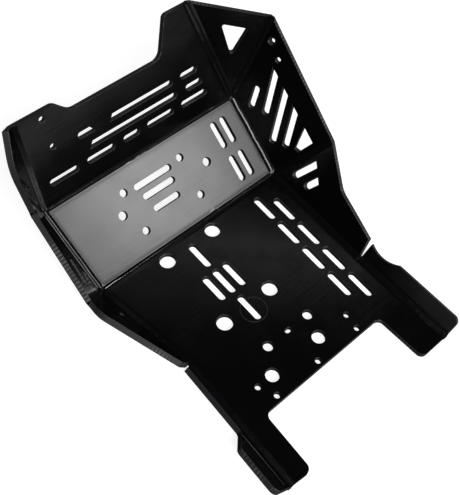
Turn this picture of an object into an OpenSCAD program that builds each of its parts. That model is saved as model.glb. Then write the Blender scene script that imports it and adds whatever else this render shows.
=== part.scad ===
// Motorcycle skid plate: one thick sheet of black polyethylene, cut flat and hot folded
// into a tray that lies under the engine. Millimetres, +Y is the front of the bike, +Z is up,
// the flat underside of the belly lies on z = 0.

/* [Sheet] */
// Thickness of the sheet
sheet_t = 8; // [5:0.5:12]
// Half width of the flat strip that the side folds leave inside the tray
strip_w = 5; // [2:0.5:8]
// Half width of the strip along the two cross folds
cross_strip_w = 3; // [2:0.5:6]
// Step at each border of a fold strip
strip_step = 0.5; // [0.3:0.1:1]

/* [Belly] */
// Distance from the middle line to the right end of the belly-to-ramp fold
belly_front_r = 156; // [120:1:180]
// Distance from the middle line to the left end of the belly-to-ramp fold
belly_front_l = 150; // [120:1:180]
// Half width on the right at the slit between wing and rear flange
belly_slit_r = 151; // [120:1:180]
// Half width on the left at the slit between wing and rear flange
belly_slit_l = 127; // [110:1:170]
// Half width on the right at the end of the rear prong
belly_rear_r = 152.5; // [120:0.5:180]
// Half width on the left at the end of the rear prong
belly_rear_l = 131; // [110:1:170]
// Distance from the ramp fold back to the right slit
slit_y_r = 181; // [150:1:200]
// Distance from the ramp fold back to the left slit
slit_y_l = 153; // [130:1:180]
// Width of the right slit
slit_w_r = 3; // [1.5:0.5:6]
// Width of the left slit
slit_w_l = 6; // [1.5:0.5:10]
// Distance from the ramp fold back to the rear notch
notch_y = 261; // [240:1:290]
// Half width of the rear notch on the right
notch_half_r = 105; // [80:1:120]
// Half width of the rear notch on the left
notch_half_l = 97; // [80:1:120]
// How far each prong leans outward along the notch
notch_flare = 3; // [0:0.5:10]
// Radius in the two inner corners of the notch
notch_r = 9; // [4:1:16]
// Length of the belly from the ramp fold to the end of the longer, left prong
belly_len = 343; // [300:1:380]
// How much shorter the right prong is
prong_step = 8; // [0:0.5:20]
// How far the end of the left prong slants, from its inner to its outer corner
prong_skew = 2.5; // [0:0.5:6]
// Radius at the inner corner of each prong
prong_r = 9; // [4:1:14]

/* [Ramp and front] */
// Slope of the ramp above the belly, degrees
ramp_angle = 37; // [25:1:45]
// Length of the ramp up its slope
ramp_len = 125; // [100:1:150]
// Half width of the ramp-to-front fold on the right
ramp_top_r = 157; // [130:1:180]
// Half width of the ramp-to-front fold on the left
ramp_top_l = 158; // [130:1:180]
// Slope of the front panel above the ground plane, degrees
front_angle = 70; // [60:1:85]
// Height of the front panel at its raised right part
front_h_r = 159; // [140:1:170]
// Height of the front panel at its raised left part
front_h_l = 126; // [115:1:140]
// Height of the front panel in the recess between
front_h_mid = 108; // [95:1:112]
// Distance from the middle line to the right end of the top edge
front_top_r = 119.5; // [105:0.5:150]
// Distance from the middle line to the left end of the top edge
front_top_l = 150; // [130:1:158]
// Recess of the front panel: distance from the middle line to its right bottom corner
recess_r = 61; // [40:1:80]
// Distance from the middle line to its left bottom corner
recess_l = 76; // [50:1:90]
// How far the right flank of the recess leans outward
recess_lean_r = 21; // [5:1:30]
// How far the left flank of the recess leans outward
recess_lean_l = 18; // [5:1:30]

/* [Right wing] */
// Fold between the ramp and the right wing, degrees
wing_fold_r = 62; // [50:1:75]
// Height of the right wing at its front end
wing_h_front_r = 114; // [90:0.5:130]
// Height of the right wing at its rear end
wing_h_rear_r = 109; // [90:0.5:130]
// Length of the right wing edge measured up the ramp to the front end
wing_run_front_r = 191.5; // [170:0.5:200]
// Start of the right wing edge measured up the ramp
wing_run_rear_r = 8.5; // [0:0.5:20]
// Where the rear part of the right wing bends down, along the belly fold
wing_knee_run = 103; // [80:1:120]
// Height of that bend
wing_knee_h = 53; // [40:1:70]
// Height of the right wing beside the slit
wing_tail_h_r = 29.5; // [15:0.5:40]

/* [Left wing] */
// Fold between the ramp and the left wing, degrees
wing_fold_l = 60; // [50:1:75]
// Height of the left wing at its front end
wing_h_front_l = 27.5; // [15:0.5:60]
// Height of the left wing at its rear end
wing_h_rear_l = 54; // [30:1:80]
// Length of the left wing edge measured up the ramp to the front end
wing_run_front_l = 132; // [120:1:150]
// Start of the left wing edge measured up the ramp
wing_run_rear_l = 8; // [0:0.5:20]
// Highest point of the left wing behind the ramp fold, along the belly fold
wing_crest_run = 44; // [30:1:60]
// Height of that point
wing_crest_h = 61; // [50:1:80]
// Height of the left wing beside the slit
wing_tail_h_l = 12; // [8:0.5:30]
// Highest bulge of the left corner panel, beside the front panel
corner_bulge = 34; // [20:1:45]

/* [Rear flanges] */
// Fold of both rear flanges, degrees
flange_fold = 45; // [30:1:70]
// Height of the right flange
flange_h_r = 28.5; // [20:0.5:40]
// Radius of the scallop at the front of the right flange
scallop_r = 45; // [30:1:60]
// Depth of that scallop
scallop_depth = 8; // [4:0.5:14]
// Height of the low front part of the left flange
flange_low_l = 7.5; // [4:0.5:20]
// Height of the lip at the rear of the left flange
flange_h_l = 32.5; // [20:0.5:45]
// Where the lip starts behind the left slit
lip_run = 103; // [80:1:120]
// Length of the slanted front end of the lip
lip_slant = 18; // [8:1:30]
// Height of the groove along the foot of the lip
groove_h = 11; // [8:0.5:16]
// Start of that groove behind the left slit
groove_run = 107; // [90:1:130]
// Length of that groove
groove_len = 76; // [40:1:80]
// Width of that groove
groove_w = 1.6; // [1:0.2:3]
// Radius of the rear outer corner of each flange
flange_r = 9; // [4:1:14]

/* [Belly openings] */
// Width of the long slots in the belly
slot_w = 10.5; // [6:0.5:14]
// Length of those slots
slot_len = 42; // [25:1:50]
// Distance from one slot to the next in a column
slot_pitch = 50.5; // [45:0.5:60]
// Distance between the slots of the middle cross
cross_dx = 17.5; // [14:0.5:24]
// Middle line of the drain holes and of the middle cross
drain_x = -16; // [-30:1:30]
// Distance of the first cross slot behind the ramp fold
cross_y = 40; // [30:1:60]
// Diameter of the four drain holes
drain_d = 22; // [12:0.5:26]
// Spacing of the drain holes across the plate
drain_dx = 79; // [60:1:100]
// Distance of the first drain row behind the ramp fold
drain_y = 19.5; // [15:0.5:40]
// Spacing of the drain rows along the plate
drain_dy = 118; // [90:1:140]
// Diameter of the two rear service holes
service_d = 18.5; // [10:0.5:22]
// Spacing of the rear service holes
service_dx = 81; // [60:1:100]
// Distance of the service holes behind the ramp fold
service_y = 229.5; // [200:0.5:245]
// Diameter of the two frame bolt holes
frame_d = 13.5; // [8:0.5:16]
// Spacing of the frame bolt holes
frame_dx = 70; // [50:1:90]
// Distance of the frame bolt holes behind the ramp fold
frame_y = 197.5; // [180:0.5:215]
// Diameter of the small bolt holes
small_d = 8; // [5:0.5:12]
// Spacing of the two rear bolt holes
rear_dx = 142; // [120:1:160]
// Distance of the rear bolt holes behind the ramp fold
rear_y = 252.5; // [245:0.5:255]
// First slot of the inner column on the right
column_x = 105; // [95:1:115]
// Distance of that slot behind the ramp fold
column_y = 38.5; // [30:0.5:60]
// Outer column, measured from the inner one
column_dx = 21.5; // [18:0.5:26]
// How far the outer column is set back
column_dy = 18; // [0:1:25]
// Lean of the two columns, degrees
column_lean = 1.3; // [0:0.1:3]
// Radius of the scribed circle
scribe_r = 18; // [10:0.5:25]
// Distance of its centre from the middle line
scribe_x = -14; // [-30:1:30]
// Distance of its centre behind the ramp fold
scribe_y = 147.5; // [120:0.5:170]
// Depth of the scribed circle and of the groove in the lip
scribe_depth = 0.5; // [0.3:0.1:1]

/* [Ramp openings] */
// Width of the four slots up the ramp
ramp_slot_w = 10; // [6:0.5:12]
// Width of the three cross slots
ramp_cross_w = 9; // [6:0.5:12]
// Length of the four slots up the ramp
ramp_slot_len = 40; // [25:1:48]
// Inner one of the two slot columns
ramp_slot_x = 109.5; // [95:0.5:120]
// Spacing of the two columns
ramp_slot_dx = 17; // [13:0.5:22]
// Height up the ramp of the lower pair
ramp_slot_low = 35; // [28:1:45]
// Height up the ramp of the upper pair
ramp_slot_high = 88.5; // [80:0.5:95]
// Middle line of the three cross slots
ramp_mid_x = -8; // [-30:1:30]
// Lengths of the cross slots, from the top one down
ramp_cross_len = [62, 53, 44];
// Heights up the ramp of the cross slots
ramp_cross_v = [88.5, 71.5, 50.5];
// Diameter of the four square-set ramp holes
ramp_hole_d = 11; // [6:0.5:14]
// Spacing of those holes across the ramp
ramp_hole_dx = 95.5; // [80:0.5:110]
// Heights up the ramp of the two rows
ramp_hole_v = [32.5, 91.5];
// Diameter of the wide pair of ramp holes
ramp_wide_d = 12.5; // [6:0.5:14]
// Spacing of the wide pair
ramp_wide_dx = 145; // [120:1:160]
// Height up the ramp of the wide pair
ramp_wide_v = 66.5; // [55:0.5:75]
// Size of the shallow oval relief at the foot of the ramp
relief_size = [11, 5];
// Place of that relief, across and up the ramp
relief_at = [44, 5.5];

/* [Front openings] */
// Width of the front slots
front_slot_w = 9; // [6:0.5:12]
// Heights of the three rows of slots, from the bottom
front_row = [31, 50.2, 70];
// Middles of the slots in the bottom row
row_a_x = [-114.5, -58, -9.3, 38.5, 96.3];
// Lengths of the slots in the bottom row
row_a_len = [43, 43, 26, 44, 44];
// Middle and length of the long slot in the middle row
row_b = [1.6, 139];
// Middle and length of the long slot in the top row
row_c = [19.5, 100];
// Middle of the two short slots at the right
row_short_x = [101, 97];
// Length of the two short slots
row_short_len = 27.5; // [15:0.5:30]
// Middle of the cut-off slot at the left
row_stub_x = -68; // [-80:1:-55]
// Length of the cut-off slot
row_stub_len = 23; // [15:1:30]
// Diameter of the two small holes at the left
front_hole_d = 8; // [5:0.5:12]
// Distance of those holes from the middle line
front_hole_x = -114; // [-130:1:-90]
// Heights of those holes
front_hole_w = [76, 115.5];

/* [Wing openings] */
// Width of the slanted vents in the right wing
vent_w = 10; // [6:0.5:14]
// Slant of the vents, degrees
vent_slant = 45.5; // [30:0.5:60]
// Line along which the vents end below the wing edge
vent_top = 81; // [60:1:95]
// Where each vent ends at the bottom, along the ramp fold
vent_run = [81.5, 41, 27.5];
// Height of the bottom end of each vent
vent_foot = [34.5, 23, 38.5];
// Bottom end of the short vent, along the ramp fold and above it
short_vent = [99.5, 19.5];
// Length of the short vent
short_vent_len = 26; // [15:1:35]
// Diameter of the upper wing hole and of its countersink
wing_hole_d = [6, 11];
// Place of the upper wing hole, along the ramp fold and above it
wing_hole_at = [165, 98];
// Diameter of the lower wing hole
wing_hole2_d = 7.5; // [5:0.5:10]
// Place of the lower wing hole, along the ramp fold and above it
wing_hole2_at = [139.5, 93];
// Diameter of the hole in the rear part of the left wing
left_hole_d = 7; // [5:0.5:10]
// Place of that hole, along the belly fold and above it
left_hole_at = [51, 20];
// Corners of the triangular window in the right corner panel
window = [[102.5, 60.5], [107, 23.3], [61.5, 28.2]];
// Radius in its corners
window_r = 3; // [1:0.5:6]
// Width of the two vents in the rear part of the wing
rear_vent_w = 10.5; // [6:0.5:14]
// Slant of those vents, degrees
rear_vent_slant = 63; // [45:1:80]

/* [Hidden] */
$fn = 64;
t = sheet_t;
// the belly is moved so that the origin lies under its middle
shift_y = 130;
black = [0.05, 0.05, 0.055];

// vector helpers
function unit(v) = v / norm(v);
function across(a, b) = unit(b - (b * a) * a);
function down(v) = v[2] < 0 ? v : -v;
function fall(a, b) = down(unit(cross(a, b)));
// twice the signed area of an outline, and the outline turned anticlockwise
function turn(p, i = 0) =
    i == len(p) ? 0 : cross(p[i], p[(i + 1) % len(p)]) + turn(p, i + 1);
function ccw(p) = turn(p) < 0 ? [for (i = [len(p) - 1 : -1 : 0]) p[i]] : p;

X = [1, 0, 0];
Y = [0, 1, 0];
Z = [0, 0, 1];

// directions up the ramp and up the front panel
U = [0, cos(ramp_angle), sin(ramp_angle)];
W = [0, cos(front_angle), sin(front_angle)];
O1 = [0, 0, 0];
O2 = ramp_len * U;

// corners of the folds on the inner face of the sheet
AR = belly_front_r * X;
AL = -belly_front_l * X;
BR = O2 + ramp_top_r * X;
BL = O2 - ramp_top_l * X;
SR = [belly_slit_r, -slit_y_r + slit_w_r / 2, 0];
SL = [-belly_slit_l, -slit_y_l + slit_w_l / 2, 0];
FR = [belly_slit_r, -slit_y_r - slit_w_r / 2, 0];
FL = [-belly_slit_l, -slit_y_l - slit_w_l / 2, 0];
prong_y_r = belly_len - prong_step;
prong_y_l = belly_len;
ER = [belly_rear_r, -prong_y_r, 0];
EL = [-belly_rear_l, -prong_y_l, 0];
TR = O2 + front_top_r * X + front_h_r * W;
TL = O2 - front_top_l * X + front_h_l * W;

// outward normals of belly, ramp and front
n_belly = -Z;
n_ramp = fall(X, U);
n_front = fall(X, W);

// wing main panels: up the fold, and up the panel
uR = unit(BR - AR);
uL = unit(BL - AL);
qR0 = across(uR, X);
qL0 = across(uL, -X);
qR = unit(cos(wing_fold_r) * qR0 - sin(wing_fold_r) * n_ramp);
qL = unit(cos(wing_fold_l) * qL0 - sin(wing_fold_l) * n_ramp);
n_wingR = fall(uR, qR);
n_wingL = fall(uL, qL);
UR = AR + wing_run_front_r * uR + wing_h_front_r * qR;
VR = AR + wing_run_rear_r * uR + wing_h_rear_r * qR;
UL = AL + wing_run_front_l * uL + wing_h_front_l * qL;
VL = AL + wing_run_rear_l * uL + wing_h_rear_l * qL;

// wing rear panels
fR = unit(SR - AR);
fL = unit(SL - AL);
n_rearR = fall(VR - AR, SR - AR);
n_rearL = fall(VL - AL, SL - AL);
gR = across(fR, VR - AR);
gL = across(fL, VL - AL);
lenR = norm(SR - AR);
lenL = norm(SL - AL);

// corner panels
eR = unit(UR - BR);
eL = unit(TL - BL);
kR = across(eR, TR - BR);
kL = across(eL, UL - BL);
n_cornR = fall(UR - BR, TR - BR);
n_cornL = fall(TL - BL, UL - BL);

// rear flanges
dR = unit(ER - FR);
dL = unit(EL - FL);
hR = unit(cos(flange_fold) * across(dR, X) + sin(flange_fold) * Z);
hL = unit(cos(flange_fold) * across(dL, -X) + sin(flange_fold) * Z);
n_flR = fall(dR, hR);
n_flL = fall(dL, hL);
flen_r = norm(ER - FR);
flen_l = norm(EL - FL);

// put a local frame with axes ex, ey at point o
module place(o, ex, ey) {
    ez = cross(ex, ey);
    multmatrix([
        [ex[0], ey[0], ez[0], o[0]],
        [ex[1], ey[1], ez[1], o[1]],
        [ex[2], ey[2], ez[2], o[2]],
        [0, 0, 0, 1]
    ])
        children();
}

// side of the frame on which the sheet lies below the inner face
function out(ex, ey) = cross(ex, ey)[2] < 0 ? 1 : -1;

// one flat panel from its outline on the inner face
module panel(o, ex, ey) {
    place(o, ex, ey)
        translate([0, 0, out(ex, ey) > 0 ? 0 : -t])
            linear_extrude(height = t)
                children();
}

// cutter through a panel, from an outline on the inner face
module through(o, ex, ey) {
    place(o, ex, ey)
        translate([0, 0, out(ex, ey) > 0 ? -1.5 : -t - 1.5])
            linear_extrude(height = t + 3)
                children();
}

// shallow cut into the inner face
module shallow(o, ex, ey, depth) {
    place(o, ex, ey)
        translate([0, 0, out(ex, ey) > 0 ? -2 : -depth])
            linear_extrude(height = depth + 2)
                children();
}

// rounded outside of a fold from p to q, and the flat strip inside it
module fold(p, q, n1, n2, w, before, after) {
    z = unit(q - p);
    s = cross(z, n1) * n2 > 0 ? 1 : -1;
    a = s > 0 ? n1 : n2;
    b = s > 0 ? n2 : n1;
    th = acos(a * b);
    place(p - before * z, a, cross(z, a)) {
        rotate([0, 0, -2])
            rotate_extrude(angle = th + 4)
                square([t - 0.2, norm(q - p) + before + after]);
        linear_extrude(height = norm(q - p) + before + after)
            polygon(ccw([
                [1, -w],
                [-strip_step, -w],
                [-w * sin(th) - strip_step * cos(th), w * cos(th) - strip_step * sin(th)],
                [-w * sin(th) + cos(th), w * cos(th) + sin(th)],
                [2 * cos(th / 2), 2 * sin(th / 2)]
            ]));
    }
}

// thin rod along a fold line, cut from both panels so that they meet only through the fold
module rod(p, q, before, after) {
    z = unit(q - p);
    e = across(z, abs(z[0]) < 0.8 ? X : Y);
    place(p - before * z, e, cross(z, e))
        cylinder(r = 0.6, h = norm(q - p) + before + after);
}

// a panel without the rods of its own fold lines
module clear(lines) {
    difference() {
        children();
        for (l = lines)
            rod(l[0], l[1], 0.8, l[2]);
    }
}

// ball at a corner where several folds meet, empty inside the tray
module ball(p, ns) {
    q = p - 0.4 * unit(ns[0] + ns[1] + ns[2] + ns[3]);
    difference() {
        translate(p)
            sphere(r = t - 0.3);
        intersection() {
            for_inside(q, ns[0]);
            for_inside(q, ns[1]);
            for_inside(q, ns[2]);
            for_inside(q, ns[3]);
        }
    }
}

// block on the inner side of the plane through p
module for_inside(p, n) {
    e = across(n, abs(n[0]) < 0.8 ? X : Y);
    place(p, e, cross(n, e))
        translate([-30, -30, -60])
            cube(60);
}

// direction of the cut edge's face at corner v of the rim, between its neighbours a and b
function rim(v, a, b, base) = across(unit(unit(b - v) - unit(a - v)), v - base);

// a fold that ends at corner v of the rim, cut off along the edges on both sides of it
module rimmed(v, a, b, base) {
    m = rim(v, a, b, base);
    e = across(m, abs(m[0]) < 0.8 ? X : Y);
    difference() {
        children();
        place(v, e, cross(m, e))
            translate([-25, -25, 0])
                cube([50, 50, 30]);
    }
}

// the piece between a corner and an arc of radius r in it
module corner(p, a, b, r, m = 1.5) {
    ua = unit(a - p);
    ub = unit(b - p);
    half = acos(ua * ub) / 2;
    c = p + unit(ua + ub) * r / sin(half);
    ta = p + ua * r / tan(half);
    tb = p + ub * r / tan(half);
    difference() {
        polygon(ccw([c, ta + unit(ta - c) * m, p + unit(p - c) * 2 * m / sin(half), tb + unit(tb - c) * m]));
        translate(c)
            circle(r = r + 0.02);
    }
}

// slot with round ends, its middle at c and its length along angle a
module slot(c, len, w, a = 0) {
    translate(c)
        rotate(a) {
            square([len - w, w], center = true);
            translate([(len - w) / 2, 0])
                circle(d = w);
            translate([-(len - w) / 2, 0])
                circle(d = w);
        }
}

// slot with one round end and one end cut on the slant, s = -1 cuts the left end
module cut_slot(c, len, w, s) {
    translate(c)
        scale_x(s) {
            polygon(ccw([
                [-(len - w) / 2, -w / 2],
                [len / 2 + 0.2 * w, -w / 2],
                [len / 2 - 0.5 * w, w / 2],
                [-(len - w) / 2, w / 2]
            ]));
            translate([-(len - w) / 2, 0])
                circle(d = w);
        }
}

module scale_x(s) {
    if (s > 0)
        children();
    else
        mirror([1, 0])
            children();
}

module hole(c, d) {
    translate(c)
        circle(d = d);
}

// outlines of the panels, on the inner face

module belly_outline() {
    nr = [notch_half_r, -notch_y];
    nl = [-notch_half_l, -notch_y];
    pr = [notch_half_r + notch_flare, -prong_y_r];
    pl = [-notch_half_l - notch_flare, -prong_y_l - prong_skew];
    er = [ER[0], ER[1]];
    el = [EL[0], EL[1]];
    difference() {
        union() {
            polygon(ccw([
                [AR[0], 0],
                [belly_slit_r, -slit_y_r],
                er, pr, nr, nl, pl, el,
                [-belly_slit_l, -slit_y_l],
                [AL[0], 0]
            ]));
            corner(nr, pr, nl, notch_r);
            corner(nl, pl, nr, notch_r);
        }
        corner(pr, nr, er, prong_r);
        corner(pl, nl, el, prong_r);
    }
}

module ramp_outline() {
    polygon(ccw([[AR[0], 0], [ramp_top_r, ramp_len], [-ramp_top_l, ramp_len], [AL[0], 0]]));
}

module front_outline() {
    a = [front_top_r, front_h_r];
    b = [recess_r + recess_lean_r, front_h_r];
    c = [recess_r, front_h_mid];
    d = [-recess_l, front_h_mid];
    e = [-recess_l - recess_lean_l, front_h_l];
    f = [-front_top_l, front_h_l];
    difference() {
        union() {
            polygon(ccw([[ramp_top_r, 0], a, b, c, d, e, f, [-ramp_top_l, 0]]));
            corner(c, b, d, 16);
            corner(d, c, e, 14);
        }
        corner(b, a, c, 7);
        corner(e, d, f, 12);
    }
}

module wing_outline_r() {
    polygon(ccw([
        [0, 0],
        [norm(BR - AR), 0],
        [wing_run_front_r, wing_h_front_r],
        [wing_run_rear_r, wing_h_rear_r]
    ]));
}

module wing_outline_l() {
    polygon(ccw([
        [0, 0],
        [norm(BL - AL), 0],
        [wing_run_front_l, wing_h_front_l],
        [wing_run_rear_l, wing_h_rear_l]
    ]));
}

module rear_outline_r() {
    v = [(VR - AR) * fR, (VR - AR) * gR];
    k = [wing_knee_run, wing_knee_h];
    s = [lenR - 4, wing_tail_h_r];
    difference() {
        union() {
            polygon(ccw([[0, 0], [lenR, 0], s, k, v]));
            corner(k, v, s, 40);
        }
        corner(s, k, [lenR, 0], 1.5);
    }
}

module rear_outline_l() {
    v = [(VL - AL) * fL, (VL - AL) * gL];
    k = [wing_crest_run, wing_crest_h];
    s = [lenL - 3, wing_tail_h_l];
    difference() {
        polygon(ccw([[0, 0], [lenL, 0], s, k, v]));
        corner(k, v, s, 22);
        corner(s, k, [lenL, 0], 1.5);
    }
}

module corner_outline_r() {
    polygon(ccw([
        [0, 0],
        [norm(UR - BR), 0],
        [(TR - BR) * eR, (TR - BR) * kR]
    ]));
}

module corner_outline_l() {
    tl = norm(TL - BL);
    u = [(UL - BL) * eL, (UL - BL) * kL];
    m = [0.7 * tl, corner_bulge];
    n = [tl + 3, 14];
    difference() {
        polygon(ccw([[0, 0], [tl, 0], n, m, u]));
        corner(m, n, u, 55);
    }
}

module flange_outline_r() {
    e = [flen_r, flange_h_r];
    difference() {
        polygon(ccw([[0, 0], [flen_r, 0], e, [0, flange_h_r]]));
        translate([21.5, flange_h_r - scallop_depth + scallop_r])
            circle(r = scallop_r);
        corner(e, [0, flange_h_r], [flen_r, 0], flange_r);
    }
}

module flange_outline_l() {
    a = [lip_run, flange_low_l];
    b = [lip_run + lip_slant, flange_h_l];
    e = [flen_l - prong_skew, flange_h_l];
    difference() {
        union() {
            polygon(ccw([[0, 0], [flen_l, 0], e, b, a, [0, flange_low_l]]));
            corner(a, [0, flange_low_l], b, 9);
        }
        corner(b, a, e, 8);
        corner(e, b, [flen_l, 0], flange_r);
    }
}

// openings, drawn on the inner face of their panel

module belly_openings() {
    for (x = [-1, 1]) {
        for (y = [0, 1])
            hole([drain_x + x * drain_dx / 2, -drain_y - y * drain_dy], drain_d);
        hole([drain_x + x * service_dx / 2, -service_y], service_d);
        hole([x * frame_dx / 2 + 0.5, -frame_y], frame_d);
        hole([x * rear_dx / 2 + 1, -rear_y], small_d);
    }
    hole([75, -service_y - 1], small_d);
    hole([-81, -service_y], small_d);
    hole([1, -rear_y], small_d);
    slot([0.5, -frame_y], small_d + 1.5, small_d - 1.5, 0);
    for (i = [0, 1, 2])
        slot([drain_x, -cross_y - i * slot_pitch], slot_len, slot_w, 90);
    for (x = [-1, 1])
        slot([drain_x + x * cross_dx, -cross_y - slot_pitch], slot_len, slot_w, 90);
    translate([column_x, -column_y])
        rotate(-column_lean)
            for (i = [0, 1, 2, 3]) {
                slot([0, -i * (slot_pitch + 0.6)], slot_len, slot_w, 90);
                slot([column_dx, -column_dy - i * (slot_pitch + 0.6)], slot_len, slot_w, 90);
            }
}

module ramp_openings() {
    for (x = [0, 1]) {
        slot([ramp_slot_x + x * ramp_slot_dx, ramp_slot_low], ramp_slot_len, ramp_slot_w, 90);
        slot([ramp_slot_x + x * ramp_slot_dx, ramp_slot_high], ramp_slot_len, ramp_slot_w, 90);
    }
    for (i = [0, 1, 2])
        slot([ramp_mid_x, ramp_cross_v[i]], ramp_cross_len[i], ramp_cross_w, 0);
    for (x = [-1, 1]) {
        for (v = ramp_hole_v)
            hole([ramp_mid_x + 0.8 + x * ramp_hole_dx / 2, v], ramp_hole_d);
        hole([0.5 + x * ramp_wide_dx / 2, ramp_wide_v], ramp_wide_d);
    }
}

module front_openings() {
    for (i = [0 : 4])
        slot([row_a_x[i], front_row[0]], row_a_len[i], front_slot_w);
    cut_slot([row_b[0], front_row[1]], row_b[1], front_slot_w, -1);
    cut_slot([row_c[0], front_row[2]], row_c[1], front_slot_w, -1);
    slot([row_short_x[0], front_row[1]], row_short_len, front_slot_w);
    slot([row_short_x[1], front_row[2]], row_short_len, front_slot_w);
    cut_slot([row_stub_x, front_row[2]], row_stub_len, front_slot_w, 1);
    for (w = front_hole_w)
        hole([front_hole_x, w], front_hole_d);
}

// a slanted vent from its foot up to the line h = top
module vent(foot, top, w, a) {
    r = w / 2;
    run = (top - foot[1]) / sin(a);
    intersection() {
        translate(foot)
            rotate(a) {
                translate([r, -r])
                    square([run + 3 * w, w]);
                translate([r, 0])
                    circle(r = r);
            }
        translate([foot[0] - 50, foot[1] - 50])
            square([300, top - foot[1] + 50]);
    }
}

module wing_openings_r() {
    for (i = [0, 1, 2])
        vent([vent_run[i], vent_foot[i]], vent_top, vent_w, vent_slant);
    slot(short_vent + (short_vent_len / 2 + 3.8) * [cos(50), sin(50)], short_vent_len + 8, vent_w - 0.5, 50);
    polygon(ccw([[16.5, vent_top], [42.5, vent_top], [20, 51], [13, 54.5]]));
    hole(wing_hole_at, wing_hole_d[0]);
    hole(wing_hole2_at, wing_hole2_d);
}

module rear_openings_r() {
    intersection() {
        union() {
            slot([42, 42], 52, rear_vent_w, rear_vent_slant);
            slot([62.8, 34.5], 36, rear_vent_w, rear_vent_slant);
        }
        polygon(ccw([[0, 0], [120, 0], [120, 3], [94, 12], [32, 75], [0, 75]]));
    }
}

module wing_openings_l() {
    slot([42, 31], 38, 6, -14);
    slot([26, 17], 20, 6, -20);
}

module corner_openings_r() {
    a = window[0];
    b = window[1];
    c = window[2];
    difference() {
        polygon(ccw([a, b, c]));
        corner(a, b, c, window_r);
        corner(b, c, a, window_r);
        corner(c, a, b, window_r);
    }
}

module scribe() {
    translate([scribe_x, -scribe_y])
        difference() {
            circle(r = scribe_r + 0.5);
            circle(r = scribe_r - 0.5);
        }
}

// flat oval relief, one unit in half width
module oval() {
    k = relief_size[0] / relief_size[1] - 1;
    square([2 * k, 2], center = true);
    for (x = [-k, k])
        translate([x, 0])
            circle(r = 1);
}

// groove along the foot of the lip
module lip_groove() {
    slot([groove_run + groove_len / 2, groove_h], groove_len, groove_w);
}

// the whole plate

module skid_plate() {
    color(black)
        translate([0, shift_y, t])
            difference() {
                union() {
                    clear([[AL, AR, 0.8], [AR, SR, 0.2], [AL, SL, 0.2]])
                        panel(O1, X, Y) belly_outline();
                    clear([[AL, AR, 0.8], [BL, BR, 0.8], [AR, BR, 0.8], [AL, BL, 0.8]])
                        panel(O1, X, U) ramp_outline();
                    clear([[BL, BR, 0.8], [BR, TR, 0.8], [BL, TL, 0.8]])
                        panel(O2, X, W) front_outline();
                    clear([[AR, BR, 0.8], [AR, VR, 0.8], [BR, UR, 0.8]])
                        panel(AR, uR, qR) wing_outline_r();
                    clear([[AL, BL, 0.8], [AL, VL, 0.8], [BL, UL, 0.8]])
                        panel(AL, uL, qL) wing_outline_l();
                    clear([[AR, SR, 0.2], [AR, VR, 0.8]])
                        panel(AR, fR, gR) rear_outline_r();
                    clear([[AL, SL, 0.2], [AL, VL, 0.8]])
                        panel(AL, fL, gL) rear_outline_l();
                    clear([[BR, UR, 0.8], [BR, TR, 0.8]])
                        panel(BR, eR, kR) corner_outline_r();
                    clear([[BL, TL, 0.8], [BL, UL, 0.8]])
                        panel(BL, eL, kL) corner_outline_l();
                    panel(FR, dR, hR) flange_outline_r();
                    panel(FL, dL, hL) flange_outline_l();
                    fold(AL, AR, n_belly, n_ramp, cross_strip_w, 0.9, 0.9);
                    fold(BL, BR, n_ramp, n_front, cross_strip_w, 0.9, 0.9);
                    fold(AR, BR, n_ramp, n_wingR, strip_w, 1.1, 1.1);
                    fold(AL, BL, n_ramp, n_wingL, strip_w, 1.1, 1.1);
                    fold(AR, SR, n_belly, n_rearR, strip_w, 1.3, 0.3);
                    fold(AL, SL, n_belly, n_rearL, strip_w, 1.3, 0.3);
                    fold(FR, ER, n_belly, n_flR, strip_w, 0.3, 0.9);
                    fold(FL, EL, n_belly, n_flL, strip_w, 0.3, 0.9);
                    rimmed(VR, UR, AR + wing_knee_run * fR + wing_knee_h * gR, AR)
                        fold(AR, VR, n_wingR, n_rearR, strip_w, 1.2, 9);
                    rimmed(VL, UL, AL + wing_crest_run * fL + wing_crest_h * gL, AL)
                        fold(AL, VL, n_wingL, n_rearL, strip_w, 1.2, 9);
                    rimmed(UR, VR, TR, BR)
                        fold(BR, UR, n_wingR, n_cornR, strip_w, 1.2, 9);
                    rimmed(TR, UR, TR - 30 * X, BR)
                        fold(BR, TR, n_front, n_cornR, strip_w, 1, 9);
                    rimmed(UL, VL, BL + 0.7 * (TL - BL) + corner_bulge * kL, BL)
                        fold(BL, UL, n_wingL, n_cornL, strip_w, 1.2, 9);
                    rimmed(TL, TL + 30 * X, TL + 3 * eL + 14 * kL, BL)
                        fold(BL, TL, n_front, n_cornL, strip_w, 1, 9);
                    ball(AR, [n_belly, n_ramp, n_wingR, n_rearR]);
                    ball(AL, [n_belly, n_ramp, n_wingL, n_rearL]);
                    ball(BR, [n_front, n_ramp, n_wingR, n_cornR]);
                    ball(BL, [n_front, n_ramp, n_wingL, n_cornL]);
                }
                through(O1, X, Y) belly_openings();
                through(O1, X, U) ramp_openings();
                through(O2, X, W) front_openings();
                through(AR, uR, qR) wing_openings_r();
                through(AR, fR, gR) rear_openings_r();
                through(AL, uL, qL) wing_openings_l();
                through(BR, eR, kR) corner_openings_r();
                through(AL, fL, gL) hole(left_hole_at, left_hole_d);
                shallow(AR, uR, qR, 3) hole(wing_hole_at, wing_hole_d[1]);
                shallow(O1, X, Y, scribe_depth) scribe();
                shallow(O1, X, U, 1) translate(relief_at) scale(relief_size[1] / 2) oval();
                shallow(FL, dL, hL, scribe_depth) lip_groove();
            }
}

skid_plate();
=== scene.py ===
"""Looks of the motorcycle skid plate: one thick polyethylene sheet, cut, milled and hot folded.

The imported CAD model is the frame. The operators dress it and set the studio.
"""

import math
from collections import namedtuple

import bmesh
import bpy
from mathutils import Matrix, Quaternion, Vector


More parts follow.
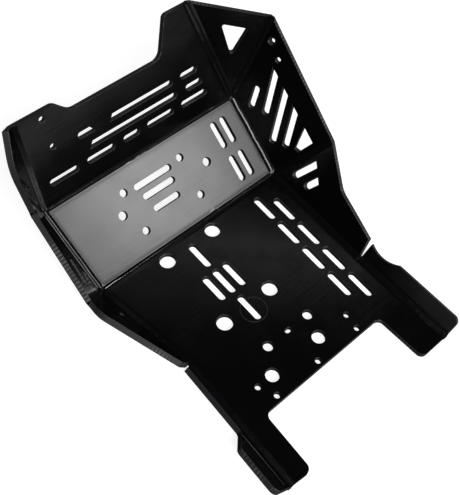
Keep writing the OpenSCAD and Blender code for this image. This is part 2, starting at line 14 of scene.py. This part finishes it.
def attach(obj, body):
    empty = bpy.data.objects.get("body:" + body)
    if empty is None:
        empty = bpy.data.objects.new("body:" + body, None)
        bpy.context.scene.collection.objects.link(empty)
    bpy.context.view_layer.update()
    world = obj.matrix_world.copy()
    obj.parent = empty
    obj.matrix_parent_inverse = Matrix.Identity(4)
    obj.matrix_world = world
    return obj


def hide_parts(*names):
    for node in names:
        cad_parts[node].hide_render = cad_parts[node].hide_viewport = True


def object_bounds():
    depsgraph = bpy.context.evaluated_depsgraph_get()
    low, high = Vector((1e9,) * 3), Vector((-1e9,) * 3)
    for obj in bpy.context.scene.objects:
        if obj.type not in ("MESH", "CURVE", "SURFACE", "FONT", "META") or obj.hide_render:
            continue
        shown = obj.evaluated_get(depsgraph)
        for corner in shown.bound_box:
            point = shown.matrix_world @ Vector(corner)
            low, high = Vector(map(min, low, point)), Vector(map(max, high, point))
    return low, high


bl_info = {
    "name": "Skid Plate Looks",
    "version": (1, 0, 0),
    "blender": (4, 5, 0),
    "location": "3D View > Sidebar > Skid Plate",
    "description": "Finishes the folded skid plate and sets the studio round it",
    "category": "Object",
}

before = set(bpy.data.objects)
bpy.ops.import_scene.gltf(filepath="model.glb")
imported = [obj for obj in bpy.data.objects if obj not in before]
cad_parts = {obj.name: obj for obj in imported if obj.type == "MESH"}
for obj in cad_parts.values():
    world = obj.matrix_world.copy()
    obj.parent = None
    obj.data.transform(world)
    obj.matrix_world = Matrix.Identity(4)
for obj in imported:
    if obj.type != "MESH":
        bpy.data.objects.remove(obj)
CAD_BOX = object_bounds()
MM = 0.001

# how the mesh is read
PANELS = 11  # flat panels of the folded sheet
PANEL_AREA = 6e-4  # smallest flat side of a panel, in square metres
WELD = 2e-6  # corners closer than this are one
SAME_WAY = 0.99995  # two normals whose dot product is above this point the same way
SAME_PLANE = 0.05 * MM  # planes closer than this are one
FACES_UP = 0.05  # the inner side of a panel faces upwards by at least this
PARALLEL = 0.1  # two panels whose normals' cross product is shorter than this have no fold
LEVEL = 0.05  # a panel whose normal leans less than this has no slope to follow
PANEL_EDGE = 8.5 * MM  # a panel that comes closer than this to a fold line is joined there
SHORTEST_FOLD = 12 * MM
HEAT_END = 6 * MM  # how far past the ends of a fold its heat still bends the sheet
FOLD_BODY = 8.8 * MM  # how far a fold's own faces lie from its line
FOLD_END = 9 * MM  # and how far past its ends
FOLD_OUTSIDE = 3 * MM  # a fold's face that lies lower than this under its line is outside
HALF_STRIP = 5 * MM  # half width that a fold's strip gets in its coordinates
NO_SEAM = 0.1  # how far the outside of a fold is moved in them, away from the seam
ROOM_BELOW = 1 * MM  # a face is part of a panel when it lies in its slab, give or take this room
ROOM_ABOVE = 1.2 * MM
ROOM_BESIDE = 2 * MM
SLANTED = 0.04  # a wall whose normal leans further than this towards the panel's isn't square
POCKET_FLOOR = 0.9  # and from here on it is the floor of a pocket
SLIVER = 1 * MM  # a face beside a fold that is lower than this is part of the fold
FULL_CUT = 3 * MM  # a wall higher than this is cut through the sheet
SHARP = math.radians(40)  # angle from which a cut's edge is broken
SKIN_ROUND = math.radians(2)  # edges of the skin are shaded round below this angle
OTHER_ROUND = math.radians(25)  # and all other edges below this one
SKIN, CUT, FOLD = range(3)  # places of the three finishes in the sheet's materials

# the studio
RAMP = Vector((0.0, 0.18, 0.045))  # middle of the ramp, which the lamps face
EYE = Vector((-0.35361, -0.28712, 0.87051))  # the camera, solved from the folds and the slot rows
EYE_RIGHT = Vector((0.75360, -0.65496, 0.05582))
EYE_UP = Vector((0.54043, 0.66568, 0.51459))
EYE_BACK = Vector((-0.37419, -0.35763, 0.85562))
# the softbox is brightest in its middle, so it is a stack of discs:
# how many degrees each fills, and its share of the brightness
SOFTBOX_DISCS = ((38, 0.12), (29, 0.18), (22, 0.23), (16, 0.26), (10, 0.21))
LAMP_STEP = 0.1  # distance between lamps that lie one in front of the other
CARD_DISTANCE = 0.9  # the low card stands close by
CARD_TURN = math.radians(-57)  # so that its left end comes closer
CARD_HEIGHT = 0.05  # of its middle
FLOOR_HALF = 6.0  # half the width of the floor
FLOOR_GAP = 0.3 * MM  # the floor lies so far under the sheet

POLYETHYLENE_IOR = 1.54

# a flat panel: inner normal, its distance from the origin, middle and reach of the inner side, all faces
Panel = namedtuple("Panel", "normal distance centre reach faces")
# a fold: line, ends along it, the way between the inner normals, gap from line to panel, both panels
Fold = namedtuple("Fold", "point along start end up border panels")


# small tools


def hex_linear(code):
    """An sRGB hex colour as linear red, green, blue and alpha."""
    parts = [int(code[i : i + 2], 16) / 255 for i in (0, 2, 4)]
    return [c / 12.92 if c <= 0.04045 else ((c + 0.055) / 1.055) ** 2.4 for c in parts] + [1.0]


def add(tree, kind, inputs=None, **settings):
    """Add a node, set its properties, and set or link its inputs."""
    made = tree.nodes.new(kind)
    for name, value in settings.items():
        setattr(made, name, value)
    for name, value in (inputs or {}).items():
        if isinstance(value, bpy.types.NodeSocket):
            tree.links.new(value, made.inputs[name])
        else:
            made.inputs[name].default_value = value
    return made


def new_material(name):
    """An empty node material and its tree."""
    made = bpy.data.materials.new(name)
    made.use_nodes = True
    made.node_tree.nodes.clear()
    return made, made.node_tree


def place(obj):
    """Link an object to the scene and return it."""
    bpy.context.scene.collection.objects.link(obj)
    return obj


# sizes


class SkidPlateSheet(bpy.types.PropertyGroup):
    """What a user would change on the sheet."""

    thickness: bpy.props.FloatProperty(
        name="Thickness",
        description="Thickness of the sheet, used to tell its two sides from its cut edges",
        default=8 * MM,
        unit="LENGTH",
    )
    heated_width: bpy.props.FloatProperty(
        name="Heated width",
        description="How far from a fold line the heat still bends the sheet",
        default=10 * MM,
        unit="LENGTH",
    )
    edge_break: bpy.props.FloatProperty(
        name="Edge break",
        description="Width of the broken edge round every cut",
        default=0.35 * MM,
        unit="LENGTH",
    )
    sheet_colour: bpy.props.FloatVectorProperty(
        name="Sheet colour",
        description="Colour of the pressed surface",
        default=hex_linear("050506")[:3],
        subtype="COLOR",
    )
    edge_colour: bpy.props.FloatVectorProperty(
        name="Edge colour",
        description="Colour of the milled edges",
        default=hex_linear("2c2c2e")[:3],
        subtype="COLOR",
    )
    fold_colour: bpy.props.FloatVectorProperty(
        name="Fold colour",
        description="Colour of the heated fold lines",
        default=hex_linear("08080a")[:3],
        subtype="COLOR",
    )


class SkidPlateStudio(bpy.types.PropertyGroup):
    """What a user would change in the studio."""

    softbox: bpy.props.FloatProperty(
        name="Softbox",
        description="Brightness of the middle of the softbox that the ramp mirrors",
        default=5.8,
    )
    strip: bpy.props.FloatProperty(
        name="Strip light",
        description="Brightness of the dim strip that the belly mirrors",
        default=0.28,
    )
    fill: bpy.props.FloatProperty(
        name="Fill light",
        description="Brightness of the fill light beside the camera, which lights the cut edges",
        default=14.0,
    )
    card: bpy.props.FloatProperty(
        name="Low card",
        description="Brightness of the pale card behind the plate, which the front panel mirrors",
        default=0.35,
    )
    room: bpy.props.FloatProperty(
        name="Room",
        description="Brightness of the dark room that the sheet mirrors everywhere else",
        default=0.01,
    )
    lamp_distance: bpy.props.FloatProperty(
        name="Lamp distance",
        description="Distance from the ramp to the lamps, other than the low card",
        default=4.0,
        unit="LENGTH",
    )
    floor_colour: bpy.props.FloatVectorProperty(
        name="Floor colour",
        description="Colour of the floor",
        default=hex_linear("ffffff")[:3],
        subtype="COLOR",
    )
    lens: bpy.props.FloatProperty(
        name="Lens",
        description="Focal length on a 36 mm sensor, solved with the camera",
        default=53.6,
        unit="CAMERA",
    )


# materials


def coordinates(tree):
    """Position on the sheet in metres: x along the panel, cut or fold, y across it."""
    return add(tree, "ShaderNodeUVMap", uv_map="sheet").outputs["UV"]


def stretched(tree, vector, x, y, turn=0.0):
    """The coordinates turned and multiplied, so that a pattern repeats x and y times per metre."""
    return add(
        tree,
        "ShaderNodeMapping",
        {"Vector": vector, "Rotation": (0, 0, turn), "Scale": (x, y, 1)},
    ).outputs["Vector"]


def pressed_polyethylene(sheet):
    """Press-finished polyethylene: a black half-glossy skin, slightly wavy, with streaks and scratches."""
    made, tree = new_material("pressed_black_polyethylene")
    uv = coordinates(tree)
    # the press leaves shallow waves some 70 mm long, which bend what the sheet mirrors
    wave = add(
        tree,
        "ShaderNodeTexNoise",
        {"Vector": stretched(tree, uv, 14, 14), "Scale": 1.0, "Detail": 1.0},
    )
    # the fine grain of the skin, drawn 1.2 mm wide instead of the real 0.2 mm so that it shows
    skin = add(
        tree,
        "ShaderNodeTexNoise",
        {"Vector": stretched(tree, uv, 800, 800), "Scale": 1.0, "Detail": 2.0},
    )
    # rolling streaks: 3 mm wide and some 80 mm long, in some areas only
    streaks = add(
        tree,
        "ShaderNodeTexNoise",
        {"Vector": stretched(tree, uv, 12, 300, 0.06), "Scale": 1.0, "Detail": 4.0, "Roughness": 0.65},
    )
    # handling scratches: hairlines 1 mm wide in another direction, here and there
    lines = add(
        tree,
        "ShaderNodeTexNoise",
        {"Vector": stretched(tree, uv, 16, 900, 0.6), "Scale": 1.0, "Detail": 3.0, "Roughness": 0.6},
    )
    marks = add(
        tree,
        "ShaderNodeMapRange",
        {"Value": lines.outputs["Fac"], "From Min": 0.68, "From Max": 0.80, "To Min": 0.0, "To Max": 1.0},
    )
    # areas some 45 mm wide that are more or less glossy and streaked
    patches = add(
        tree,
        "ShaderNodeTexNoise",
        {"Vector": stretched(tree, uv, 22, 22), "Scale": 1.0, "Detail": 3.0},
    )
    rough = add(
        tree,
        "ShaderNodeMapRange",
        {"Value": patches.outputs["Fac"], "From Min": 0.3, "From Max": 0.7, "To Min": 0.12, "To Max": 0.17},
    )
    scuffed = add(
        tree,
        "ShaderNodeMath",
        {0: marks.outputs["Result"], 1: 0.05, 2: rough.outputs["Result"]},
        operation="MULTIPLY_ADD",
    )
    waved = add(
        tree,
        "ShaderNodeBump",
        {"Height": wave.outputs["Fac"], "Strength": 0.5, "Distance": 0.7 * MM},
    )
    depth = add(
        tree,
        "ShaderNodeMapRange",
        {"Value": patches.outputs["Fac"], "From Min": 0.42, "From Max": 0.62, "To Min": 0.12, "To Max": 0.5},
    )
    # beside a fold the heated sheet sinks a little, by some 4 degrees where it meets the fold
    gap = add(tree, "ShaderNodeAttribute", attribute_name="fold_gap", attribute_type="GEOMETRY")
    near = add(
        tree,
        "ShaderNodeMapRange",
        {
            "Value": gap.outputs["Fac"],
            "From Min": 4 * MM,
            "From Max": sheet.heated_width,
            "To Min": 1.0,
            "To Max": 0.0,
        },
    )
    sink = add(tree, "ShaderNodeMath", {0: near.outputs["Result"], 1: 2.0}, operation="POWER")
    bent = add(
        tree,
        "ShaderNodeBump",
        {
            "Height": sink.outputs["Value"],
            "Strength": 1.0,
            "Distance": 0.2 * MM,
            "Normal": waved.outputs["Normal"],
        },
        invert=True,
    )
    streaked = add(
        tree,
        "ShaderNodeBump",
        {
            "Height": streaks.outputs["Fac"],
            "Strength": depth.outputs["Result"],
            "Distance": 0.35 * MM,
            "Normal": bent.outputs["Normal"],
        },
    )
    grained = add(
        tree,
        "ShaderNodeBump",
        {
            "Height": skin.outputs["Fac"],
            "Strength": 0.1,
            "Distance": 0.03 * MM,
            "Normal": streaked.outputs["Normal"],
        },
    )
    tint = add(
        tree,
        "ShaderNodeMix",
        {"Factor": marks.outputs["Result"], "A": [*sheet.sheet_colour, 1], "B": hex_linear("141416")},
        data_type="RGBA",
    )
    shader = add(
        tree,
        "ShaderNodeBsdfPrincipled",
        {
            "Base Color": tint.outputs["Result"],
            "Roughness": scuffed.outputs["Value"],
            "IOR": POLYETHYLENE_IOR,
            "Normal": grained.outputs["Normal"],
        },
    )
    add(tree, "ShaderNodeOutputMaterial", {"Surface": shader.outputs["BSDF"]})
    return made


def milled_polyethylene(sheet):
    """Milled polyethylene: the cutter opens the skin, so edges are greyer and matt, with chatter marks."""
    made, tree = new_material("milled_black_polyethylene")
    uv = coordinates(tree)
    # the cutter chatters in stretches of some 60 mm only, moved 80 mm along the cut to where they lie
    along_cut = add(tree, "ShaderNodeVectorMath", {0: uv, 1: (-0.08, 0.0, 0.0)}, operation="ADD")
    uneven = add(
        tree,
        "ShaderNodeTexNoise",
        {"Vector": stretched(tree, along_cut.outputs["Vector"], 16, 16), "Scale": 1.0, "Detail": 1.0},
    )
    # chatter marks, one every 5 mm along the cut: a wave texture turns 20 radians per unit
    pitch = 5 * MM
    chatter = add(
        tree,
        "ShaderNodeTexWave",
        {
            "Vector": stretched(tree, uv, 1, 0.15),
            "Scale": math.tau / (20 * pitch),
            "Distortion": 1.5,
            "Detail": 2.0,
        },
        wave_type="BANDS",
        bands_direction="X",
    )
    # feed lines along the cut, 1 mm apart
    feed = add(
        tree,
        "ShaderNodeTexNoise",
        {"Vector": stretched(tree, uv, 40, 1000), "Scale": 1.0, "Detail": 2.0},
    )
    strength = add(
        tree,
        "ShaderNodeMapRange",
        {"Value": uneven.outputs["Fac"], "From Min": 0.50, "From Max": 0.64, "To Min": 0.05, "To Max": 1.0},
    )
    band = add(
        tree,
        "ShaderNodeMapRange",
        {"Value": chatter.outputs["Fac"], "From Min": 0.25, "From Max": 0.75, "To Min": 0.0, "To Max": 1.0},
    )
    mark = add(
        tree,
        "ShaderNodeMath",
        {0: band.outputs["Result"], 1: strength.outputs["Result"]},
        operation="MULTIPLY",
    )
    tint = add(
        tree,
        "ShaderNodeMix",
        {"Factor": mark.outputs["Value"], "A": [*sheet.edge_colour, 1], "B": hex_linear("5a5a5c")},
        data_type="RGBA",
    )
    chattered = add(
        tree,
        "ShaderNodeBump",
        {"Height": mark.outputs["Value"], "Strength": 0.6, "Distance": 0.5 * MM},
    )
    lined = add(
        tree,
        "ShaderNodeBump",
        {
            "Height": feed.outputs["Fac"],
            "Strength": 0.4,
            "Distance": 0.2 * MM,
            "Normal": chattered.outputs["Normal"],
        },
    )
    shader = add(
        tree,
        "ShaderNodeBsdfPrincipled",
        {
            "Base Color": tint.outputs["Result"],
            "Roughness": 0.38,
            "IOR": POLYETHYLENE_IOR,
            "Normal": lined.outputs["Normal"],
        },
    )
    add(tree, "ShaderNodeOutputMaterial", {"Surface": shader.outputs["BSDF"]})
    return made


def hot_folded_polyethylene(sheet):
    """Hot folded polyethylene: the heated strip turns smooth and glossy, with a thin wandering seam."""
    made, tree = new_material("hot_folded_black_polyethylene")
    uv = coordinates(tree)
    across = add(tree, "ShaderNodeSeparateXYZ", {"Vector": uv})
    # the seam wanders by some 1 mm to either side of the fold line
    wander = add(
        tree,
        "ShaderNodeTexNoise",
        {"Vector": stretched(tree, uv, 22, 1), "Scale": 1.0, "Detail": 2.0},
    )
    aside = add(
        tree,
        "ShaderNodeMath",
        {0: wander.outputs["Fac"], 1: 5 * MM, 2: across.outputs["Y"]},
        operation="MULTIPLY_ADD",
    )
    centred = add(
        tree,
        "ShaderNodeMath",
        {0: aside.outputs["Value"], 1: 2.5 * MM},
        operation="SUBTRACT",
    )
    away = add(tree, "ShaderNodeMath", {0: centred.outputs["Value"]}, operation="ABSOLUTE")
    seam = add(
        tree,
        "ShaderNodeMapRange",
        {
            "Value": away.outputs["Value"],
            "From Min": 0.0,
            "From Max": 1.8 * MM,
            "To Min": 1.0,
            "To Max": 0.0,
        },
        interpolation_type="SMOOTHSTEP",
    )
    shaped = add(
        tree,
        "ShaderNodeBump",
        {"Height": seam.outputs["Result"], "Strength": 1.0, "Distance": 0.7 * MM},
    )
    # ripples of the softened skin, some 12 mm long
    ripple = add(
        tree,
        "ShaderNodeTexNoise",
        {"Vector": stretched(tree, uv, 80, 200), "Scale": 1.0, "Detail": 2.0},
    )
    rippled = add(
        tree,
        "ShaderNodeBump",
        {
            "Height": ripple.outputs["Fac"],
            "Strength": 0.4,
            "Distance": 0.6 * MM,
            "Normal": shaped.outputs["Normal"],
        },
    )
    shader = add(
        tree,
        "ShaderNodeBsdfPrincipled",
        {
            "Base Color": [*sheet.fold_colour, 1],
            "Roughness": 0.12,
            "IOR": POLYETHYLENE_IOR,
            "Normal": rippled.outputs["Normal"],
        },
    )
    add(tree, "ShaderNodeOutputMaterial", {"Surface": shader.outputs["BSDF"]})
    return made


# the sheet's panels, found on the mesh


def flat_groups(bm):
    """Faces that share a plane, as a list of normal, distance from the origin, area and faces."""
    groups = []
    for face in bm.faces:
        normal = face.normal
        distance = normal.dot(face.calc_center_median())
        for group in groups:
            if group[0].dot(normal) > SAME_WAY and abs(group[1] - distance) < SAME_PLANE:
                group[2] += face.calc_area()
                group[3].append(face)
                break
        else:
            groups.append([normal.copy(), distance, face.calc_area(), [face]])
    return groups


def find_panels(bm, thickness):
    """Panels of the folded sheet: pairs of planes one thickness apart."""
    big = [group for group in flat_groups(bm) if group[2] > PANEL_AREA]
    panels = []
    for up, d1, area, inner in big:
        for down, d2, _, outer in big:
            if up.z > FACES_UP and up.dot(down) < -SAME_WAY and abs(d1 + d2 - thickness) < SAME_PLANE:
                centre = sum((f.calc_center_median() * f.calc_area() for f in inner), Vector()) / area
                reach = max((v.co - centre).length for f in inner for v in f.verts)
                panels.append(Panel(up.copy(), d1, centre, reach, set(inner) | set(outer)))
    if len(panels) < PANELS:
        raise RuntimeError(f"found {len(panels)} of the sheet's {PANELS} panels")
    return panels


def find_folds(panels):
    """Fold lines: where the inner planes of two neighbouring panels meet."""
    folds = []
    for i, one in enumerate(panels):
        for j, two in enumerate(panels[:i]):
            along = one.normal.cross(two.normal)
            if along.length < PARALLEL:
                continue
            point = one.distance * two.normal.cross(along) + two.distance * along.cross(one.normal)
            point = point / along.length_squared
            along.normalize()
            ends, border = [], PANEL_EDGE
            for panel in (one, two):
                steps = [v.co - point for f in panel.faces for v in f.verts]
                beside = [(r.dot(along), (r - along * r.dot(along)).length) for r in steps]
                reach = [t for t, gap in beside if gap < PANEL_EDGE]
                ends.append((min(reach), max(reach)) if reach else (0, 0))
                border = min([border] + [gap for _, gap in beside])
            start, end = max(ends[0][0], ends[1][0]), min(ends[0][1], ends[1][1])
            if end - start > SHORTEST_FOLD:
                up = (one.normal + two.normal).normalized()
                folds.append(Fold(point, along, start, end, up, border, (i, j)))
    return folds


def mark_borders(bm, panels, folds, reach):
    """Cut each panel beside its folds, and write on its points how far they lie from the nearest fold.

    Heat bends the sheet a little on both sides of a fold, and the skin's material draws that."""
    mark = bm.faces.layers.int["panel"]
    gap = bm.verts.layers.float["fold_gap"]
    for k, panel in enumerate(panels):
        for face in panel.faces:
            face[mark] = k + 1
    sides = []
    for fold in folds:
        for k in fold.panels:
            off = fold.along.cross(panels[k].normal).normalized()
            if off.dot(panels[k].centre - fold.point) < 0:
                off = -off
            sides.append((fold, off, k))
            faces = [f for f in bm.faces if f[mark] == k + 1]
            edges = {e for f in faces for e in f.edges}
            verts = {v for f in faces for v in f.verts}
            bmesh.ops.bisect_plane(
                bm,
                geom=[*faces, *edges, *verts],
                dist=1e-6,
                plane_co=fold.point + off * reach,
                plane_no=off,
            )
    for vert in bm.verts:
        vert[gap] = reach
    for fold, off, k in sides:
        for face in bm.faces:
            if face[mark] != k + 1:
                continue
            for vert in face.verts:
                r = vert.co - fold.point
                if fold.start - HEAT_END < r.dot(fold.along) < fold.end + HEAT_END:
                    vert[gap] = min(vert[gap], max(r.dot(off), 0.0))
    for k, panel in enumerate(panels):
        panel.faces.clear()
        panel.faces.update(f for f in bm.faces if f[mark] == k + 1)


def panel_at(panels, spot, normal, thickness):
    """The panel that a spot lies in and how flat a face lies there: 0 square to it, 1 along it."""
    near = []
    for k, panel in enumerate(panels):
        height = spot.dot(panel.normal) - panel.distance
        aside = (spot - panel.centre).length
        if -thickness - ROOM_BELOW < height < ROOM_ABOVE and aside < panel.reach + ROOM_BESIDE:
            near.append((abs(normal.dot(panel.normal)), k))
    flatness, home = min(near) if near else (1.0, 0)
    return panels[home], flatness


def fold_at(folds, spot):
    """The fold that a spot lies in, if any."""
    for fold in folds:
        r = spot - fold.point
        t = r.dot(fold.along)
        if fold.start - FOLD_END < t < fold.end + FOLD_END and (r - fold.along * t).length < FOLD_BODY:
            return fold
    return None


def height_of(face, up):
    """How high a face reaches along a direction."""
    heights = [v.co.dot(up) for v in face.verts]
    return max(heights) - min(heights)


def sort_faces(bm, panels, folds, thickness):
    """Give every face its finish, and its coordinates in metres along the panel, the cut or the fold."""
    layer = bm.loops.layers.uv.new("sheet")
    skin = {face: panel.normal for panel in panels for face in panel.faces}
    for face in bm.faces:
        spot, normal = face.calc_center_median(), face.normal
        home, flatness = panel_at(panels, spot, normal, thickness)
        fold = fold_at(folds, spot)
        origin = Vector()
        if face in skin:
            face.material_index = SKIN
            up = skin[face]
            x_axis = Vector((up.y, -up.x, 0))
            x_axis = x_axis.normalized() if x_axis.length > LEVEL else Vector((1, 0, 0))
            y_axis = up.cross(x_axis)
        elif fold and (flatness > SLANTED or height_of(face, home.normal) < SLIVER):
            face.material_index = FOLD
            origin, x_axis = fold.point, fold.along
            y_axis = fold.up.cross(x_axis) * (HALF_STRIP / fold.border)
            if (spot - origin).dot(fold.up) < -FOLD_OUTSIDE:
                # the outside of a fold has no seam, so it is moved away from it
                origin = origin - y_axis.normalized() * NO_SEAM
        else:
            face.material_index = CUT
            x_axis = home.normal.cross(normal).normalized() if flatness < POCKET_FLOOR else Vector((1, 0, 0))
            y_axis = normal.cross(x_axis).normalized()
        for loop in face.loops:
            r = loop.vert.co - origin
            loop[layer].uv = (r.dot(x_axis), r.dot(y_axis))


def break_edges(bm, panels, width):
    """Chamfer the edges where a full-depth cut leaves the pressed skin, as a scraper does."""
    ups = {face: panel.normal for panel in panels for face in panel.faces}
    cut = []
    for edge in bm.edges:
        if len(edge.link_faces) != 2:
            continue
        for face, other in (edge.link_faces, reversed(edge.link_faces)):
            if face in ups and other.material_index == CUT and edge.calc_face_angle() > SHARP:
                if height_of(other, ups[face]) > FULL_CUT:
                    cut.append(edge)
    bmesh.ops.bevel(
        bm,
        geom=cut,
        offset=width,
        offset_type="OFFSET",
        segments=1,
        profile=0.5,
        affect="EDGES",
        clamp_overlap=False,
        material=CUT,
        loop_slide=False,
    )
    bm.normal_update()


def shade(bm):
    """Keep panels, cuts and broken edges flat; round only the folds and the ends of the slots."""
    for edge in bm.edges:
        if len(edge.link_faces) == 2:
            at_skin = any(face.material_index == SKIN for face in edge.link_faces)
            edge.smooth = edge.calc_face_angle(0.0) < (SKIN_ROUND if at_skin else OTHER_ROUND)
    for face in bm.faces:
        face.smooth = True


class SKIDPLATE_OT_sheet(bpy.types.Operator):
    """Dress the folded sheet: find its panels and folds, break its edges and finish skin, cuts and folds"""

    bl_idname = "skidplate.sheet"
    bl_label = "Folded Sheet"

    def execute(self, context):
        sheet = context.scene.skidplate_sheet
        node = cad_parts["skid_plate"]
        mesh = bpy.data.meshes.new("folded_sheet")
        bm = bmesh.new()
        bm.from_mesh(node.data)
        bmesh.ops.remove_doubles(bm, verts=bm.verts, dist=WELD)
        bm.normal_update()
        # a new layer makes faces found before it invalid, so both come first
        bm.faces.layers.int.new("panel")
        bm.verts.layers.float.new("fold_gap")
        panels = find_panels(bm, sheet.thickness)
        folds = find_folds(panels)
        mark_borders(bm, panels, folds, sheet.heated_width)
        bm.normal_update()
        sort_faces(bm, panels, folds, sheet.thickness)
        break_edges(bm, panels, sheet.edge_break)
        shade(bm)
        bm.to_mesh(mesh)
        bm.free()
        piece = place(bpy.data.objects.new("folded_sheet", mesh))
        # in the order of SKIN, CUT and FOLD
        for finish in (pressed_polyethylene, milled_polyethylene, hot_folded_polyethylene):
            mesh.materials.append(finish(sheet))
        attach(piece, "root")
        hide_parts("skid_plate")
        return {"FINISHED"}


# the studio


def towards(azimuth, elevation):
    """A direction. Azimuth is measured from +Y towards +X, in degrees."""
    a, e = math.radians(azimuth), math.radians(elevation)
    return Vector((math.sin(a) * math.cos(e), math.cos(a) * math.cos(e), math.sin(e)))


def lamp(name, radiance, azimuth, elevation, wide, high, distance, shape="ELLIPSE"):
    """An area lamp that fills so many degrees seen from the ramp, at a given brightness."""
    data = bpy.data.lights.new(name, "AREA")
    data.shape = shape
    data.size = 2 * distance * math.tan(math.radians(wide / 2))
    data.size_y = 2 * distance * math.tan(math.radians(high / 2))
    area = data.size * data.size_y * (math.pi / 4 if shape == "ELLIPSE" else 1)
    data.energy = radiance * 4 * area  # Cycles shows a lamp's power over four times its area
    made = place(bpy.data.objects.new(name, data))
    made.location = RAMP + distance * towards(azimuth, elevation)
    made.rotation_mode = "QUATERNION"
    made.rotation_quaternion = (RAMP - made.location).to_track_quat("-Z", "Y")
    made.visible_camera = False
    return made


def pale_floor(colour):
    """Seamless paper: matt white with the object's shadow in the picture, dark grey to the object itself."""
    made, tree = new_material("white_studio_paper")
    path = add(tree, "ShaderNodeLightPath")
    paper = add(tree, "ShaderNodeBsdfDiffuse", {"Color": hex_linear("989898")})
    grey = add(tree, "ShaderNodeBsdfDiffuse", {"Color": hex_linear("2c2c2c")})
    white = add(tree, "ShaderNodeEmission", {"Color": [*colour, 1], "Strength": 0.88})
    lit = add(tree, "ShaderNodeAddShader", {0: paper.outputs["BSDF"], 1: white.outputs["Emission"]})
    seen = add(
        tree,
        "ShaderNodeMixShader",
        {"Fac": path.outputs["Is Camera Ray"], 1: grey.outputs["BSDF"], 2: lit.outputs["Shader"]},
    )
    add(tree, "ShaderNodeOutputMaterial", {"Surface": seen.outputs["Shader"]})
    return made


def studio_world(scene, room):
    """White to the camera, a dim dark studio to the object."""
    world = bpy.data.worlds.new("studio")
    scene.world = world
    world.use_nodes = True
    tree = world.node_tree
    tree.nodes.clear()
    path = add(tree, "ShaderNodeLightPath")
    dim = add(tree, "ShaderNodeBackground", {"Color": hex_linear("ffffff"), "Strength": room})
    white = add(tree, "ShaderNodeBackground", {"Color": hex_linear("ffffff"), "Strength": 1.0})
    mixed = add(
        tree,
        "ShaderNodeMixShader",
        {"Fac": path.outputs["Is Camera Ray"], 1: dim.outputs["Background"], 2: white.outputs["Background"]},
    )
    add(tree, "ShaderNodeOutputWorld", {"Surface": mixed.outputs["Shader"]})


class SKIDPLATE_OT_studio(bpy.types.Operator):
    """Set the pale floor, the lamps, the world and the camera of the photograph"""

    bl_idname = "skidplate.studio"
    bl_label = "Studio"

    def execute(self, context):
        scene = context.scene
        studio = scene.skidplate_studio
        bm = bmesh.new()
        bmesh.ops.create_grid(bm, x_segments=1, y_segments=1, size=FLOOR_HALF)
        mesh = bpy.data.meshes.new("paper_floor")
        bm.to_mesh(mesh)
        bm.free()
        floor = place(bpy.data.objects.new("paper_floor", mesh))
        floor.location.z = CAD_BOX[0].z - FLOOR_GAP
        mesh.materials.append(pale_floor(studio.floor_colour))
        studio_world(scene, studio.room)
        far = studio.lamp_distance
        # name, brightness, azimuth, elevation, width and height in degrees, distance
        for k, (wide, share) in enumerate(SOFTBOX_DISCS):
            lamp(f"softbox_{k}", studio.softbox * share, 152.5, 44, wide, wide, far - LAMP_STEP * k)
        lamp("strip_light", studio.strip, 49, 58.9, 30, 4.6, far, "RECTANGLE")
        lamp("strip_glow", 0.25 * studio.strip, 40, 61.5, 34, 10, far - LAMP_STEP)
        lamp("side_softbox", 1.8 * studio.softbox, 132, 19.5, 19, 13, far)
        lamp("fill_light", studio.fill, -165, 45, 24, 24, far)
        lamp("flange_light", 0.75 * studio.strip, -92, 36, 14, 14, far)
        card = lamp("low_card", studio.card, 157, 0, 60, 7, CARD_DISTANCE, "RECTANGLE")
        card.rotation_quaternion = Quaternion((0, 0, 1), CARD_TURN) @ card.rotation_quaternion
        card.location.z = CARD_HEIGHT
        data = bpy.data.cameras.new("camera")
        data.sensor_width = 36.0
        data.lens = studio.lens
        data.clip_start, data.clip_end = 0.01, 50.0
        camera = place(bpy.data.objects.new("camera", data))
        turn = Matrix((EYE_RIGHT, EYE_UP, EYE_BACK)).transposed().to_4x4()
        camera.matrix_world = Matrix.Translation(EYE) @ turn
        scene.camera = camera
        scene.view_settings.view_transform = "Standard"
        return {"FINISHED"}


class SKIDPLATE_PT_panel(bpy.types.Panel):
    """The steps, in the 3D view's sidebar"""

    bl_idname = "SKIDPLATE_PT_panel"
    bl_label = "Skid Plate"
    bl_space_type = "VIEW_3D"
    bl_region_type = "UI"
    bl_category = "Skid Plate"

    def draw(self, context):
        for group in (context.scene.skidplate_sheet, context.scene.skidplate_studio):
            box = self.layout.box()
            for name in group.__annotations__:
                box.prop(group, name)
        for operator in OPERATORS:
            self.layout.operator(operator.bl_idname)


OPERATORS = (SKIDPLATE_OT_sheet, SKIDPLATE_OT_studio)
CLASSES = (SkidPlateSheet, SkidPlateStudio, *OPERATORS, SKIDPLATE_PT_panel)


def register():
    for cls in CLASSES:
        bpy.utils.register_class(cls)
    bpy.types.Scene.skidplate_sheet = bpy.props.PointerProperty(type=SkidPlateSheet)
    bpy.types.Scene.skidplate_studio = bpy.props.PointerProperty(type=SkidPlateStudio)


def unregister():
    del bpy.types.Scene.skidplate_studio
    del bpy.types.Scene.skidplate_sheet
    for cls in reversed(CLASSES):
        bpy.utils.unregister_class(cls)


def main():
    register()
    bpy.ops.skidplate.sheet()
    bpy.ops.skidplate.studio()


if __name__ == "__main__":
    main()
